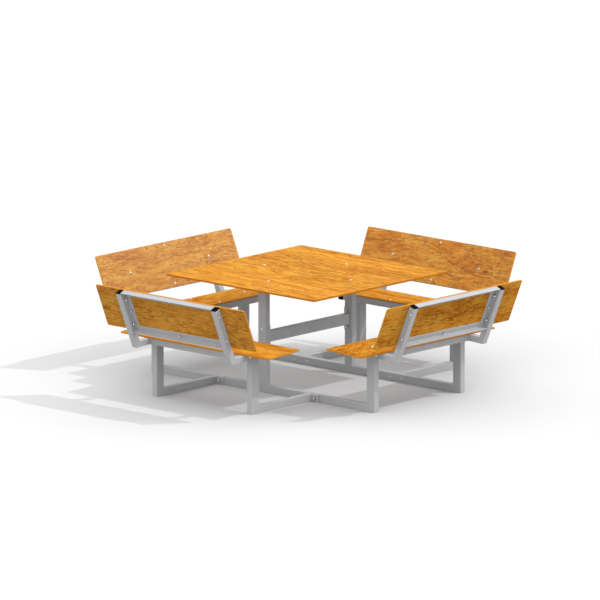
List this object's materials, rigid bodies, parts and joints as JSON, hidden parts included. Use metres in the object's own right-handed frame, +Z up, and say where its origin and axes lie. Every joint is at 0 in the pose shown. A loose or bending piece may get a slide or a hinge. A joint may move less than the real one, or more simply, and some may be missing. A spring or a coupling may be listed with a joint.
{
  "type": "square picnic table with four benches",
  "caption": "Square outdoor table on a steel tube frame, with a backed bench fixed to each side and wood-decor boards.",
  "frame": {"origin": "on the ground under the centre of the table top", "axes": "+Z up, X along the two long ground rails towards the east bench, Y across them towards the north bench"},
  "size_m": [2.6494, 2.7094, 0.7552],
  "materials": {
    "board": "compact laminate board with a satin golden-brown wood decor on both faces and a dark core at its edges",
    "frame": "steel tube, angle and plate, powder coated in satin light grey",
    "cap": "moulded black plastic",
    "bolt": "bright zinc-plated steel"
  },
  "bodies": {
    "root": {"table_top": "board", "table_frame": "frame", "south_bearer": "frame", "north_bearer": "frame", "south_table_leg": "frame", "north_table_leg": "frame", "cross_beam": "frame", "south_ground_rail": "frame", "north_ground_rail": "frame", "south_seat_board": "board", "south_back_board": "board", "south_seat_frame": "frame", "south_back_frame": "frame", "south_left_post": "frame", "south_right_post": "frame", "south_left_arm": "frame", "south_right_arm": "frame", "south_left_leg": "frame", "south_right_leg": "frame", "east_seat_board": "board", "east_back_board": "board", "east_seat_frame": "frame", "east_back_frame": "frame", "east_left_post": "frame", "east_right_post": "frame", "east_left_arm": "frame", "east_right_arm": "frame", "east_left_leg": "frame", "east_right_leg": "frame", "north_seat_board": "board", "north_back_board": "board", "north_seat_frame": "frame", "north_back_frame": "frame", "north_left_post": "frame", "north_right_post": "frame", "north_left_arm": "frame", "north_right_arm": "frame", "north_left_leg": "frame", "north_right_leg": "frame", "west_seat_board": "board", "west_back_board": "board", "west_seat_frame": "frame", "west_back_frame": "frame", "west_left_post": "frame", "west_right_post": "frame", "west_left_arm": "frame", "west_right_arm": "frame", "west_left_leg": "frame", "west_right_leg": "frame", "south_left_ground_bar": "frame", "south_right_ground_bar": "frame", "north_left_ground_bar": "frame", "north_right_ground_bar": "frame", "end_plates": "frame", "post_caps": "cap", "arm_caps": "cap", "board_bolts": "bolt", "board_nuts": "bolt", "frame_bolts": "bolt", "frame_nuts": "bolt"}
  },
  "joints": []
}
